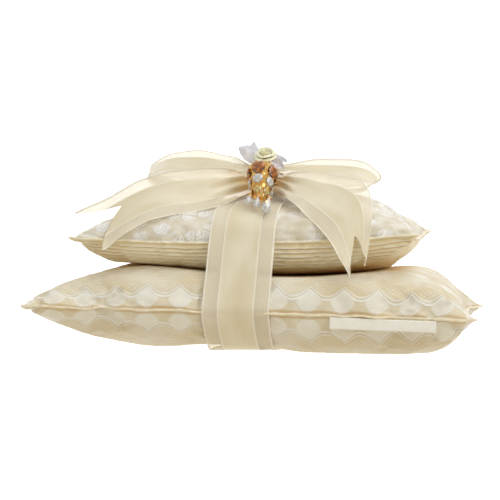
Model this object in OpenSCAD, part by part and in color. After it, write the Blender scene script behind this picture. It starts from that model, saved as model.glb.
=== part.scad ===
// Ring bearer pillow: two square cushions tied together with one wide ribbon.
// On top are the ribbon's bow, a folded satin rose with organza leaves, and a jewelled pendant.
// Origin: centre of the lower cushion, on the surface that it rests on.
// +X is the right-hand side, -Y the front, +Z up. Millimetres.

/* [Lower cushion] */
// Side of the lower cushion, corner to corner
lower_side = 255; // [250:1:265]
// Height of the lower cushion's crown above its seam
lower_crown = 30; // [28:0.5:32]

/* [Upper cushion] */
// Side of the upper cushion, corner to corner
upper_side = 200; // [195:1:205]
// Height of the upper cushion's crown above its seam
upper_crown = 31.5; // [30:0.5:32]

/* [Covers] */
// Height at which the upper cushion rests on the lower one
rest_z = 47; // [46:0.5:48]
// Thickness of a cover with its seam allowance
cover_t = 0.6; // [0.5:0.1:0.8]

/* [Ribbon] */
// Width of the ribbon
ribbon_w = 38; // [34:1:40]
// Thickness of the ribbon
ribbon_t = 0.4; // [0.3:0.1:0.5]
// Place of the ribbon's middle along X
ribbon_x = -6; // [-8:1:-2]

/* [Pendant] */
// How far the pendant leans forward from hanging straight down, in degrees
pendant_lean = 41; // [40:1:44]
// How far the drops lean forward, in degrees
drop_lean = 50; // [50:1:56]
// Diameter of an amber stone
amber_d = 7.4; // [7:0.1:7.6]
// Diameter of a clear stone
clear_d = 5.8; // [5.4:0.1:6]
// Diameter of a golden stone
golden_d = 3.6; // [3.2:0.1:3.8]

/* [Hidden] */
$fn = 32;

IVORY = "#f6efd9";
CREAM = "#f3e7c4";
ORGANZA = "#f1efee";
GOLD = "#c9962f";
AMBER = "#8f5410";
CHAMPAGNE = "#c79a4a";
CLEAR = "#e6eaee";

// A cushion is [side, seam height, rise of the seam per half side in X, in Y, lift of the corners, middle in X]
LOWER = [lower_side, 22.5, -3, -2, 0, 0];
UPPER = [upper_side, 64.5, 0.8, 1.5, 4, -7.5];
lower_belly = 27;       // depth of the lower cushion below its seam, before it lies flat
upper_belly = 21;
edge_pull = 0.045;      // how far a seam's middle pulls in, as a share of half the side
crown_power = 0.62;     // 0.5 would be an elliptical crown, 1 a peaked one
belly_power = 0.5;      // the same below the seam
seam_gap = 0.05;        // half the gap between the two covers at the seam
rest_gap = 0.4;         // between the two cushions
filling_plan = 0.985;   // plan size of a filling, as a share of its cover's
filling_height = 0.96;
cushion_cells = 20;     // grid cells along a side
groove_z = 3.2;         // the wrap lifts the lower cushion's underside by this much
groove_margin = 4;      // beside the ribbon, still at full height
groove_fade = 16;       // over which the groove then runs out

wrap_clear = 1.2;       // between a cover and the ribbon round it
wrap_under_z = 1.6;     // height of the ribbon's middle under the lower cushion
wrap_step = 10;         // degrees between two rings of the wrap
loop_rings = 28;
tail_rings = 16;
tail_notch = 0.2;       // depth of the swallowtail, as a share of the tail's length
knot = [-2, -36, 105];
knot_r = 9.5;
knot_w = 15;
knot_waist = 1.6;       // how much thinner the knot is at its ends

// A ribbon runs along stations: the x, y, z of its middle, then of its half width
LOOP_LEFT = [
    [-9.6, -36, 102, 0, 7, 1], [-34, -33, 97, -2, 18, 3], [-62, -32, 99, -3, 18.5, 4],
    [-76, -31, 107, -3, 18, 5], [-62, -31, 112, -2, 16.5, 8], [-40, -32, 111, -1, 15.5, 10],
    [-20, -35, 109.5, 0, 10, 6], [-9.6, -36, 108, 0, 7, 1]
];
LOOP_RIGHT = [
    [5.6, -36, 102, 0, 7, 1], [26, -33, 96.5, 2, 18, 2], [50, -33, 95, 3, 19, 2],
    [66, -32, 99, 3, 18, 4.5], [58, -31, 104.5, 2, 17, 7.5], [38, -32, 106.5, 1, 16, 8.5],
    [18, -35, 108, 0, 10, 5], [5.6, -36, 108, 0, 7, 1]
];
TAIL_LEFT = [
    [-9.6, -42, 101, 0, 2.5, 5], [-34, -65, 96.5, -1.5, 9, 11],
    [-64, -77, 89.5, -4, 13.5, 13], [-98, -93, 69.5, -12, 13.5, 10.5]
];
TAIL_RIGHT = [
    [5.6, -42, 101, 0, 2.5, 5], [26, -65, 95, 6, 9, 9],
    [53, -89, 78, 13, 9, 11], [63, -113, 50, 6, 6, 6]
];

rose_base = [-2, -36, 115];
rose_r = 6.2;
rose_h = 7.5;
rose_turns = 3.2;
petal_t = 0.35;
leaf_t = 0.3;
LEAF_LEFT = [
    [-8.5, -35, 116.5, 0, 2, 1], [-12, -34, 119, 0.5, 5, 2], [-16, -33, 121.5, 1, 4, 2],
    [-18.5, -32.5, 123, 0.3, 0.8, 0.3]
];
LEAF_LEFT_UPRIGHT = [
    [-6.5, -29.5, 117.5, 1, 1, 0], [-8, -28.5, 120, 3, 2.5, 0], [-9, -28, 123, 2.5, 2, 0],
    [-9.8, -28, 125.5, 0.5, 0.4, 0]
];
LEAF_RIGHT = [
    [4.5, -37, 116.5, 0, 2, 0], [8, -38, 117.5, 0, 4.5, -1], [12, -38, 117, 0, 3.5, -1],
    [14.5, -38, 116, 0, 0.8, -0.3]
];
LEAF_RIGHT_LOW = [
    [8, -47.5, 115, 1, 1, 1], [10, -49, 113, 3, 1, 2], [12, -50.5, 110.5, 2.5, 1, 1.5],
    [13.5, -51.5, 108.5, 0.5, 0.2, 0.3]
];

pivot = [0, -54, 109.5];   // where the pendant hangs in its bail
bail_r = 5;
bail_wire = 0.5;
bail_rise = 10;            // degrees by which the bail rises towards the knot
stitch_r = 0.9;
stitch_wire = 0.18;
link_wire = 0.45;
link_r = 1.65;
link_drop = 0.55;          // from the pivot down to the centre of the ring that hangs on it
stones_in_row = 5;
row_turn = -10;            // degrees by which the rows are turned round the pendant
row_lean = 12;             // degrees by which the stones face below level
// A row is [its radius, its height in the pendant's own frame, its stones' diameter]
AMBER_ROW = [7.6, -8.5, amber_d];
CLEAR_ROW = [6.1, -16.2, clear_d];
GOLDEN_ROW = [4.2, -23.2, golden_d];
seat_rim = 0.45;          // metal above and below a stone
seat_front = 0.3;         // metal proud of a stone's girdle
seat_depth = 0.9;
seat_gap = 0.03;
frame_top = [2.4, -2.3];  // radius and height of the frame's top
frame_tip = [0.2, -31];
drop_wire = 0.3;
drop_ring_r = 1.1;
drop_ring_drop = 0.4;
eyelet_r = 1.2;
arm_wire = 0.22;
neck = [2.2, 0.9, 2.8];    // the flat drilled top of a crystal
neck_hole_r = 0.45;
// A drop is [its pivot in the pendant's own frame, its length, its radius]
DROP_FRONT = [[0, -3.6, -28], 10, 2.6];
DROP_LEFT = [[-5.2, -3, -26], 8.5, 2.2];
DROP_RIGHT = [[6.6, -3.4, -29], 16, 3.2];

function smooth(t) = let (s = max(0, min(1, t))) s * s * (3 - 2 * s);
function unit(v) = v / norm(v);
function middle(c) = c[0] / 2 * (1 - edge_pull);

// The point at a share s of the way along a list of stations, on a smooth curve
function along(stations, s) =
    let (
        last = len(stations) - 1,
        k = min(last - 1, floor(s * last)),
        t = s * last - k,
        a = stations[max(0, k - 1)], b = stations[k],
        c = stations[k + 1], d = stations[min(last, k + 2)]
    )
    0.5 * (2 * b + (c - a) * t + (2 * a - 5 * b + 4 * c - d) * t * t + (3 * b - a - 3 * c + d) * t * t * t);

// ---- Closed solids between two grids of points ----

module between(top, bottom, closed = false) {
    rows = len(top);
    columns = len(top[0]);
    function at(i, j, side) = (side * rows + i % rows) * columns + j;
    function quad(a, b, c, d) = [[a, b, c], [a, c, d]];
    last_row = closed ? rows - 1 : rows - 2;
    broad = [for (i = [0:last_row], j = [0:columns - 2]) each concat(
        quad(at(i, j, 0), at(i, j + 1, 0), at(i + 1, j + 1, 0), at(i + 1, j, 0)),
        quad(at(i, j, 1), at(i + 1, j, 1), at(i + 1, j + 1, 1), at(i, j + 1, 1)))];
    long_edges = [for (i = [0:last_row]) each concat(
        quad(at(i, 0, 0), at(i + 1, 0, 0), at(i + 1, 0, 1), at(i, 0, 1)),
        quad(at(i, columns - 1, 0), at(i, columns - 1, 1), at(i + 1, columns - 1, 1), at(i + 1, columns - 1, 0)))];
    end_edges = closed ? [] : [for (j = [0:columns - 2]) each concat(
        quad(at(0, j, 0), at(0, j, 1), at(0, j + 1, 1), at(0, j + 1, 0)),
        quad(at(rows - 1, j, 0), at(rows - 1, j + 1, 0), at(rows - 1, j + 1, 1), at(rows - 1, j, 1)))];
    points = concat([for (row = top) each row], [for (row = bottom) each row]);
    polyhedron(points, concat(broad, long_edges, end_edges), convexity = 8);
}

// A sheet of even thickness round a grid of points
module sheet(grid, thickness, closed = false) {
    rows = len(grid);
    columns = len(grid[0]);
    function before(i) = closed ? (i + rows - 1) % rows : max(0, i - 1);
    function after(i) = closed ? (i + 1) % rows : min(rows - 1, i + 1);
    function normal(i, j) = unit(cross(
        grid[after(i)][j] - grid[before(i)][j],
        grid[i][min(columns - 1, j + 1)] - grid[i][max(0, j - 1)]));
    function face(shift) = [for (i = [0:rows - 1]) [for (j = [0:columns - 1]) grid[i][j] + shift * normal(i, j)]];
    between(face(thickness / 2), face(-thickness / 2), closed);
}

// A ribbon along its stations; notch makes a swallowtail at its far end
module ribbon(stations, rings, thickness, notch = 0) {
    function point(s, w) = let (p = along(stations, s * (1 - notch * (1 - abs(w)))))
        [p[0] + w * p[3], p[1] + w * p[4], p[2] + w * p[5]];
    sheet([for (i = [0:rings]) [for (w = [-1:0.5:1]) point(i / rings, w)]], thickness);
}

// ---- Cushions ----

function plan_point(c, u, v) =
    c[0] / 2 * [u * (1 - edge_pull * (1 - v * v)), v * (1 - edge_pull * (1 - u * u))] + [c[5], 0];
function seam_height(c, u, v) = c[1] + c[2] * u + c[3] * v + c[4] * u * u * v * v;
function swell(u, v, power) = pow(max(0, (1 - u * u) * (1 - v * v)), power);
function floor_height(x) =
    groove_z * (1 - smooth((abs(x - ribbon_x) - ribbon_w / 2 - groove_margin) / groove_fade));

// The outer faces of the covers, over the unit square
edge_t = cover_t + seam_gap;
lower_top = function (u, v) min(rest_z, seam_height(LOWER, u, v) + edge_t + lower_crown * swell(u, v, crown_power));
lower_bottom = function (u, v) max(
    floor_height(plan_point(LOWER, u, v)[0]),
    seam_height(LOWER, u, v) - edge_t - lower_belly * swell(u, v, belly_power));
upper_top = function (u, v) seam_height(UPPER, u, v) + edge_t + upper_crown * swell(u, v, crown_power);
upper_bottom = function (u, v) max(
    rest_z + rest_gap,
    seam_height(UPPER, u, v) - edge_t - upper_belly * swell(u, v, belly_power));

// Grid lines lie closer together near the seams
function grid_line(i) = let (t = 2 * i / cushion_cells - 1) 0.5 * t + 0.5 * sin(90 * t);

module cushion_part(c, plan, high, low) {
    lines = [for (i = [0:cushion_cells]) grid_line(i)];
    function face(height) = [for (u = lines) [for (v = lines)
        let (p = plan * plan_point(c, u, v)) [p[0], p[1], height(u, v)]]];
    between(face(high), face(low));
}

module cover_top(c, outer) {
    cushion_part(c, 1, outer, function (u, v) outer(u, v) - cover_t);
}

module cover_bottom(c, outer) {
    cushion_part(c, 1, function (u, v) outer(u, v) + cover_t, outer);
}

module filling(c, top, bottom) {
    shrink = function (outer, u, v) let (seam = seam_height(c, u, v)) seam + filling_height * (outer(u, v) - seam);
    cushion_part(c, filling_plan,
        function (u, v) shrink(top, u, v) - cover_t,
        function (u, v) shrink(bottom, u, v) + cover_t);
}

module lower_cover_top() color(IVORY) cover_top(LOWER, lower_top);
module lower_cover_bottom() color(IVORY) cover_bottom(LOWER, lower_bottom);
module lower_filling() color("white") filling(LOWER, lower_top, lower_bottom);
module upper_cover_top() color(IVORY) cover_top(UPPER, upper_top);
module upper_cover_bottom() color(CREAM) cover_bottom(UPPER, upper_bottom);
module upper_filling() color("white") filling(UPPER, upper_top, upper_bottom);

// A folded strip that hangs from the front seam, right of the ribbon
module side_label() {
    label_x = [47, 105];
    label_t = 0.8;
    drop = [0, -2.2, -6];
    steps = 6;
    function at_seam(x) = let (u = 2 * x / lower_side, p = plan_point(LOWER, u, -1))
        [x, p[1] - label_t, seam_height(LOWER, u, -1) - label_t];
    hems = [for (i = [0:steps]) at_seam(label_x[0] + i / steps * (label_x[1] - label_x[0]))];
    color("white") sheet([for (hem = hems) [hem + drop, hem]], label_t);
}

// ---- Ribbon ----

// The wrap's route in the YZ plane: over the upper cushion, straight to the lower one, and under it
function over_upper(a) = [
    (middle(UPPER) + wrap_clear) * sin(a),
    seam_height(UPPER, 0, sin(a)) + edge_t + (upper_crown + wrap_clear) * pow(cos(a), 2 * crown_power)
];
function under_lower(a) = [
    (middle(LOWER) + wrap_clear) * sin(a),
    max(wrap_under_z, seam_height(LOWER, 0, sin(a)) - edge_t - (lower_belly + wrap_clear) * pow(cos(a), 2 * belly_power))
];

module ribbon_wrap() {
    route = concat(
        [for (a = [-90:wrap_step:90]) over_upper(a)],
        [for (a = [90:-wrap_step:-90]) under_lower(a)]);
    color(CREAM) sheet(
        [for (p = route) [for (w = [1, 0, -1]) [ribbon_x + w * ribbon_w / 2, p[0], p[1]]]],
        ribbon_t, closed = true);
}

module ribbon_knot() {
    profile = [for (t = [-1:0.25:1]) [knot_r - knot_waist * t * t, t * knot_w / 2]];
    color(CREAM) translate(knot) rotate([0, 90, 0])
        rotate_extrude() polygon(concat([[0, -knot_w / 2]], profile, [[0, knot_w / 2]]));
}

module bow_loop_left() color(CREAM) ribbon(LOOP_LEFT, loop_rings, ribbon_t);
module bow_loop_right() color(CREAM) ribbon(LOOP_RIGHT, loop_rings, ribbon_t);
module bow_tail_left() color(CREAM) ribbon(TAIL_LEFT, tail_rings, ribbon_t, tail_notch);
module bow_tail_right() color(CREAM) ribbon(TAIL_RIGHT, tail_rings, ribbon_t, tail_notch);

// ---- Rose ----

// One strip rolled into a spiral, each turn lower and wider than the one inside it
module rose() {
    steps = 52;
    function petal(s, t) = let (
        r = (1 + (rose_r - 1) * s) * (0.55 + 0.6 * t),
        a = 360 * rose_turns * s
    ) rose_base + [r * cos(a), r * sin(a), (rose_h - 2.5 * s) * t];
    color("#f4f3d8") sheet([for (i = [0:steps]) [for (t = [0, 0.5, 1]) petal(i / steps, t)]], petal_t);
}

module rose_leaf_left() color(ORGANZA) {
    ribbon(LEAF_LEFT, 8, leaf_t);
    ribbon(LEAF_LEFT_UPRIGHT, 8, leaf_t);
}

module rose_leaf_right() color(ORGANZA) {
    ribbon(LEAF_RIGHT, 8, leaf_t);
    ribbon(LEAF_RIGHT_LOW, 8, leaf_t);
}

// Four stitches under the rose, and three round the far side of the pendant's bail
module sewing_stitches() color("white") {
    for (x = [-1, 1], y = [-1, 1])
        translate(rose_base + [2 * x, 2 * y, -1.6]) cylinder(h = 1.5, r = stitch_wire, $fn = 16);
    for (x = [-1, 0, 1])
        translate(pivot) rotate([bail_rise, 0, 0]) translate([x, 2 * bail_r, 0]) ring_across_x(stitch_r, stitch_wire);
}

// ---- Pendant ----

module ring(r, wire) rotate_extrude() translate([r, 0]) circle(wire, $fn = 16);
module ring_across_x(r, wire) rotate([0, 90, 0]) ring(r, wire);
module in_pendant() translate(pivot) rotate([-pendant_lean, 0, 0]) children();

module at_stones(row)
    for (k = [0:stones_in_row - 1])
        rotate([0, 0, row_turn - 90 + 360 / stones_in_row * k]) translate([row[0], 0, row[1]])
            rotate([0, 90 + row_lean, 0]) children();

module seats(row)
    at_stones(row) translate([0, 0, -seat_depth]) cylinder(h = 4 * seat_depth, r = row[2] / 2 + seat_gap);

// The two outline points of the sloping band that a row of stones is set in
function band(row) = let (h = row[2] / 2 + seat_rim) [for (t = [h, -h])
    [row[0] + seat_front + t * sin(row_lean), row[1] + t * cos(row_lean)]];

// A round stone with a flat girdle and a cut crown
module stones(row) {
    girdle = seat_depth - seat_gap;
    at_stones(row) translate([0, 0, -girdle]) {
        cylinder(h = girdle, r = row[2] / 2);
        translate([0, 0, girdle]) cylinder(h = row[2] / 7, r1 = row[2] / 2, r2 = row[2] / 3.4);
    }
}

// A wire rod from point a to point b
module rod(a, b, r) {
    d = b - a;
    translate(a) rotate([0, acos(d[2] / norm(d)), atan2(d[1], d[0])]) cylinder(h = norm(d), r = r, $fn = 16);
}

// The little ring on the frame that a drop hangs from, with its arm from the core
module eyelet(drop) {
    centre = drop[0] + [0, eyelet_r, 0];
    translate(centre) ring(eyelet_r, drop_wire);
    foot = [0, 0, max(frame_tip[1] + 3, centre[2] + 1.5)];
    rod(foot, centre + eyelet_r * unit([foot[0] - centre[0], foot[1] - centre[1], 0]), arm_wire);
}

module pendant_bail() color(GOLD)
    translate(pivot) rotate([bail_rise, 0, 0]) translate([0, bail_r, 0]) ring(bail_r, bail_wire);

module pendant_frame() color(GOLD) in_pendant() {
    rows = [AMBER_ROW, CLEAR_ROW, GOLDEN_ROW];
    outline = concat([[0, frame_top[1]], frame_top], [for (row = rows) each band(row)], [frame_tip, [0, frame_tip[1]]]);
    difference() {
        rotate_extrude() polygon(outline);
        for (row = rows) seats(row);
    }
    translate([0, 0, -link_drop]) ring_across_x(link_r, link_wire);
    for (drop = [DROP_FRONT, DROP_LEFT, DROP_RIGHT]) eyelet(drop);
}

module amber_stones() color(AMBER) in_pendant() stones(AMBER_ROW);
module clear_stones() color(CLEAR) in_pendant() stones(CLEAR_ROW);
module golden_stones() color(CHAMPAGNE) in_pendant() stones(GOLDEN_ROW);

module in_drop(drop) in_pendant() translate(drop[0]) rotate([pendant_lean - drop_lean, 0, 0]) children();

module drop_ring(drop) color(GOLD)
    in_drop(drop) translate([0, 0, -drop_ring_drop]) ring_across_x(drop_ring_r, drop_wire);

// A teardrop with a flat drilled neck
module crystal(drop) {
    r = drop[2];
    hole_z = -drop_ring_drop - drop_ring_r;
    neck_top = hole_z + 0.9;
    dome = [for (a = [0:15:90]) [r * cos(a), -drop[1] + r - r * sin(a)]];
    color(CLEAR) in_drop(drop) difference() {
        union() {
            translate([-neck[0] / 2, -neck[1] / 2, neck_top - neck[2]]) cube(neck);
            rotate_extrude() polygon(concat([[0, hole_z - 0.7], [0.6, hole_z - 0.9]], dome));
        }
        translate([0, 0, hole_z]) rotate([90, 0, 0]) cylinder(h = 2 * neck[0], r = neck_hole_r, center = true);
    }
}

module drop_ring_front() drop_ring(DROP_FRONT);
module drop_ring_left() drop_ring(DROP_LEFT);
module drop_ring_right() drop_ring(DROP_RIGHT);
module crystal_drop_front() crystal(DROP_FRONT);
module crystal_drop_left() crystal(DROP_LEFT);
module crystal_drop_right() crystal(DROP_RIGHT);

lower_cover_top();
lower_cover_bottom();
lower_filling();
side_label();
upper_cover_top();
upper_cover_bottom();
upper_filling();
ribbon_wrap();
ribbon_knot();
bow_loop_left();
bow_loop_right();
bow_tail_left();
bow_tail_right();
rose();
rose_leaf_left();
rose_leaf_right();
sewing_stitches();
pendant_bail();
pendant_frame();
amber_stones();
clear_stones();
golden_stones();
drop_ring_front();
drop_ring_left();
drop_ring_right();
crystal_drop_front();
crystal_drop_left();
crystal_drop_right();
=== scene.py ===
"""A ring bearer pillow: two cushions tied with a ribbon, with a bow, a satin rose and a jewelled pendant.

The cushions are inflated as cloth. Everything else is built from short lists of stations in millimetres.
"""
import math

import bmesh
import bpy
import numpy as np
from mathutils import Matrix, Vector


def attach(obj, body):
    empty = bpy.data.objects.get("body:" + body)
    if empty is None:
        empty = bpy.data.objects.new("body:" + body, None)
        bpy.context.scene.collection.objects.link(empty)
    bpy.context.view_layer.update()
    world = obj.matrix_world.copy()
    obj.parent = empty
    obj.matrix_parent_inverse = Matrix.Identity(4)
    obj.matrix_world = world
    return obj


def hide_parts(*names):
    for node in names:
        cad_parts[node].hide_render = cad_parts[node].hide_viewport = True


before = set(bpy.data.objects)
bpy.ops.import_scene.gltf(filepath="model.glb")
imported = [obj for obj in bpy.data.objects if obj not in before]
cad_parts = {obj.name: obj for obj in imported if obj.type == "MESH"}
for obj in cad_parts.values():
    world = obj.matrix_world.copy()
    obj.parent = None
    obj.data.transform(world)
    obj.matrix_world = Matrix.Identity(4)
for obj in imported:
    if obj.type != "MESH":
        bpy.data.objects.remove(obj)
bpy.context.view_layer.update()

MM = 0.001
UP = np.array([0.0, 0.0, 1.0])

# Cushions: side, middle in X, seam height and its tilt to the right, to the back and at the corners, crown
# and belly, turn in degrees, how high the puckers beside the seams are, and how full the top and bottom are
# towards the left and right seams (1 is as blown up, less is leaner)
LOWER = dict(
    name="lower", side=255, x=0, seam=(22.5, -3, -2, 0), crown=33, belly=28, turn=-0.9, pucker=0.45,
    full_top=(0.8, 0.97), full_bottom=(0.9, 1.3),
)
UPPER = dict(
    name="upper", side=200, x=-7.5, seam=(64.5, 0.8, 1.5, 4), crown=31.5, belly=23, turn=0, pucker=0.2,
    full_top=(0.6, 0.68), full_bottom=(0.75, 1.0),
)
# How far the middle of each side pulls in, as a share of half the side, the cloth's thickness, the radius of
# the rolled seam and how far inside the covers the filling starts
EDGE_PULL = 0.045
COVER = 0.5
PIPING_R = 0.62
FILLING_INSET = 1.2
# Pin-tucks: rows, their spacing and how far the first is from the seam
TUCKS = 6
TUCK_SPACING = 3.3
TUCK_FIRST = 4.4
# Cloth simulation: cells along a side, and frames
SIM_CELLS = 72
SIM_FRAMES = 20

# Ribbon: the strap's middle in X, half widths of the ribbon and its satin, thickness of the cloth and of the
# wired edge, and how deep the strap presses into the cushions
RIBBON_X = -6
RIBBON_HALF = 19
SATIN_HALF = 10
RIBBON_THICK = 0.14
WIRE_THICK = 0.65
GROOVE = 3.2
# The knot: centre, radius, half width and the thickness of its gathered cloth
KNOT = (-2, -36, 105)
KNOT_R = 9.5
KNOT_HALF = 7.5
KNOT_THICK = 0.4

# Each station of a ribbon: centre x y z, then the half width as a vector
LOOP_LEFT = [
    [-8, -36, 102, 0, 6.5, 1], [-34, -33, 97, -2, 18, 3], [-62, -32, 99, -3, 18.5, 4],
    [-76, -31, 107, -3, 18, 5], [-62, -31, 112, -2, 16.5, 8], [-40, -32, 111, -1, 15.5, 10],
    [-20, -35, 109.5, 0, 10, 6], [-8, -36, 108, 0, 6.5, 1],
]
LOOP_RIGHT = [
    [4, -36, 102, 0, 6.5, 1], [26, -33, 96.5, 2, 18, 2], [50, -33, 95, 3, 19, 2],
    [64, -32, 99, 3, 18, 4.5], [58, -31, 104.5, 2, 17, 7.5], [38, -32, 106.5, 1, 16, 8.5],
    [18, -35, 108, 0, 10, 5], [4, -36, 108, 0, 6.5, 1],
]
TAIL_LEFT = [
    [-8, -40, 100, 0, 2.5, 6], [-34, -65, 95, -1.5, 9, 13],
    [-64, -77, 89.5, -4, 13.5, 13], [-98, -93, 69.5, -12, 13.5, 10.5],
]
TAIL_RIGHT = [
    [4, -40, 100, 0, 2.5, 6], [26, -66, 96, 6, 11, 9],
    [54, -91, 80.5, 11, 11, 14], [62, -115, 47.5, 4, 8, 3.2],
]
TAIL_NOTCH = 0.2

# Rose: where its base sits on the knot, height before scaling, scale, tilt to the front in degrees and
# thickness of a petal
ROSE_BASE = (-0.8, -37, 113.4)
ROSE_H = 7.5
ROSE_SIZE = 1.18
ROSE_TILT = 36
PETAL_THICK = 0.22
# Leaves: stations as for the ribbon, two blades for each piece
LEAVES = {
    "rose_leaf_left": [
        [[-5, -36, 113.6, 2, 2, 2], [-10.5, -34, 118, 3.2, 2, 4.2], [-15.5, -33, 121, 2, 1, 2.8],
         [-19, -32.5, 122.5, 0.2, 0, 0.3]],
        [[-4.5, -32, 113.4, 2.6, 1, -1], [-7.5, -29, 120, 4.2, 1, -1.6], [-9, -28.5, 123, 2.4, 1, -1],
         [-9.8, -28, 126, 0.3, 0, -0.1]],
    ],
    "rose_leaf_right": [
        [[2, -39, 114, 0, 1.5, 1.2], [6, -41, 114, 0.4, 1.5, 2.4], [9.5, -42, 113, 0.6, 1.5, 2],
         [12.5, -42, 112, 0.1, 0.2, 0.3]],
        [[4, -46, 112.5, 1.6, 0, 1.2], [7, -47.5, 111, 2, 0.6, 2.4], [9.5, -49, 109.5, 1.6, 0.5, 1.8],
         [12, -50, 108, 0.2, 0, 0.3]],
    ],
}

# Pendant: pivot, and lean of the cone and of the drops in degrees
PIVOT = (0, -54, 109.5)
PENDANT_LEAN = 41
DROP_LEAN = 50
# Rows of round stones: how far they are turned round the cone and how far each stone leans, in degrees, then
# for each row its radius, its height on the cone and its stones' diameter
STONES_IN_ROW = 5
ROW_TURN = -10
ROW_LEAN = 12
ROWS = {
    "amber_stones": (8.1, -8.5, 8.4),
    "clear_stones": (6.6, -16.2, 6.6),
    "golden_stones": (4.7, -23.2, 5.2),
}
# Painted light and shade on the stones and drops: how light a stone is painted at each ring of its cut, from
# its back to its front, and how light the drops are painted
STONE_PAINTED_LIGHT = [0, 0, 0.1, 0.5, 0.8]
PLAIN_PAINTED_LIGHT = 0.6
# Drops: pivot in the pendant, length, radius and how far the ribbon below holds them off, in degrees
DROPS = {
    "front": ((0, -3.6, -28), 10, 2.6, 0),
    "left": ((-5.2, -3, -26), 8.5, 2.2, 0),
    "right": ((6.6, -3.4, -29), 16, 3.2, 9),
}
# A drop's ring: its radius and how far its middle is below the pivot
DROP_RING_R = 1.1
DROP_RING_DROP = 0.4

# Light from all round: place from straight down (0) over the horizon (0.5) to straight up (1), and colour
SKY = [
    (0.01, (0.72, 0.65, 0.52)), (0.42, (0.60, 0.54, 0.42)), (0.5, (0.18, 0.14, 0.09)),
    (0.58, (0.56, 0.52, 0.45)), (0.75, (0.68, 0.67, 0.64)), (0.99, (0.82, 0.83, 0.84)),
]
# Lights: name, place and size in metres, and power in watts
SOFTBOXES = [
    ("softbox_over", (0.35, 0.0, 1.1), 0.6, 2.9),
    ("softbox_right", (0.9, -0.9, 0.6), 0.5, 3.4),
]
LIT_POINT = Vector((0, 0, 0.06))
# The point in the middle of the view, in millimetres
LOOK_AT = Vector((-16.4, -2.6, 58.3))


# ---- Shapes ----
def ease(t):
    """0 to 1 with soft ends."""
    t = np.clip(t, 0, 1)
    return t * t * (3 - 2 * t)


def resample(grid, at, axis=0):
    """Values between the rows of a grid, on a smooth curve through them; at runs from 0 to 1."""
    grid = np.moveaxis(np.asarray(grid, float), axis, 0)
    last = len(grid) - 1
    place = np.asarray(at) * last
    first = np.clip(place.astype(int), 0, last - 1)
    t = (place - first).reshape(-1, *[1] * (grid.ndim - 1))
    a, b, c, d = (grid[np.clip(first + k, 0, last)] for k in (-1, 0, 1, 2))
    made = b + 0.5 * t * (c - a + t * (2 * a - 5 * b + 4 * c - d + t * (3 * (b - c) + d - a)))
    return np.moveaxis(made, 0, axis)


def ripples(seed, shortest, longest):
    """A repeatable uneven wave along a line, about 1 high."""
    count = 6
    rng = np.random.default_rng(seed)
    lengths = rng.uniform(shortest, longest, count)
    starts = rng.uniform(0, 2 * math.pi, count)
    return lambda s: sum(np.sin(2 * math.pi * s / n + p) for n, p in zip(lengths, starts)) / math.sqrt(count)


def unit(vectors):
    """The vectors at length 1."""
    return vectors / np.maximum(np.linalg.norm(vectors, axis=-1, keepdims=True), 1e-9)


def normals(grid):
    """Unit normals of a grid of points."""
    return unit(np.cross(np.gradient(grid, axis=0), np.gradient(grid, axis=1)))


def spread(*parts):
    """Coordinates of a grid of points, each given for the whole grid or only along or across it."""
    return np.dstack(np.broadcast_arrays(*parts))


def quads(index):
    """The four corners of every cell of a grid of point numbers."""
    return np.stack([index[:-1, :-1], index[1:, :-1], index[1:, 1:], index[:-1, 1:]], -1).reshape(-1, 4)


def rim(grid):
    """The outermost values of a grid, once round."""
    return np.concatenate([grid[:-1, 0], grid[-1, :-1], grid[:0:-1, -1], grid[0, :0:-1]])


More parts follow.
